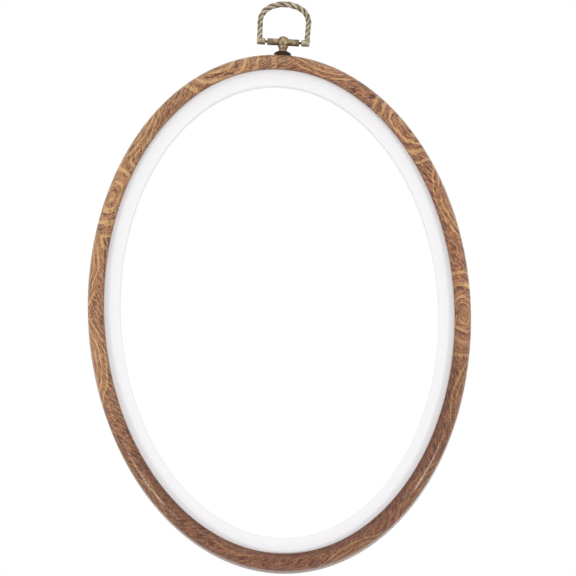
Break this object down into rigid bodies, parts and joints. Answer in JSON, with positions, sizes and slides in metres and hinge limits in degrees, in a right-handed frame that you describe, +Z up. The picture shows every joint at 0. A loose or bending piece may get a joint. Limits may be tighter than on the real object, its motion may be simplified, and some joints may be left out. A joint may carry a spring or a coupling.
{
  "type": "embroidery hoop",
  "caption": "Oval embroidery hoop that doubles as a hanging frame, with a wood-look outer frame, a pale inner ring that traps the cloth, and a swivelling rope-twist bail.",
  "frame": {"origin": "the point where a hook or nail bears on the inside of the bail, at the top of its arch", "axes": "+Z up along the oval's long axis, +Y out of the back face towards the wall, +X to the right seen from the front"},
  "size_m": [0.145, 0.012, 0.2207],
  "materials": {
    "woodgrain_vinyl": "soft vinyl with a satin wood-look print",
    "white_plastic": "smooth moulded plastic",
    "dark_steel": "dark bronze finish, satin",
    "zinc_steel": "zinc plated",
    "screw_steel": "zinc plated",
    "post_brass": "antique brass, worn",
    "bail_brass": "antique brass, worn"
  },
  "bodies": {
    "frame": {"outer_frame": "woodgrain_vinyl", "dome_washer": "dark_steel", "backing_washer": "zinc_steel"},
    "ring": {"inner_ring": "white_plastic"},
    "hanger": {"hanger_post": "post_brass", "hanger_screw": "screw_steel"},
    "bail": {"bail": "bail_brass"}
  },
  "joints": [
    {"name": "ring_push", "type": "slide", "parent": "frame", "child": "ring", "axis": [0, 1, 0], "range_m": [0, 0.02]},
    {"name": "hanger_swivel", "type": "hinge", "parent": "frame", "child": "hanger", "pos_m": [-0.00141, 0, -0.01381], "axis": [0.1015, 0, 0.9948], "continuous": true},
    {"name": "bail_pivot", "type": "hinge", "parent": "hanger", "child": "bail", "pos_m": [-0.00141, 0, -0.01381], "axis": [0.9948, 0, -0.1015], "range_deg": [-110, 110]}
  ]
}
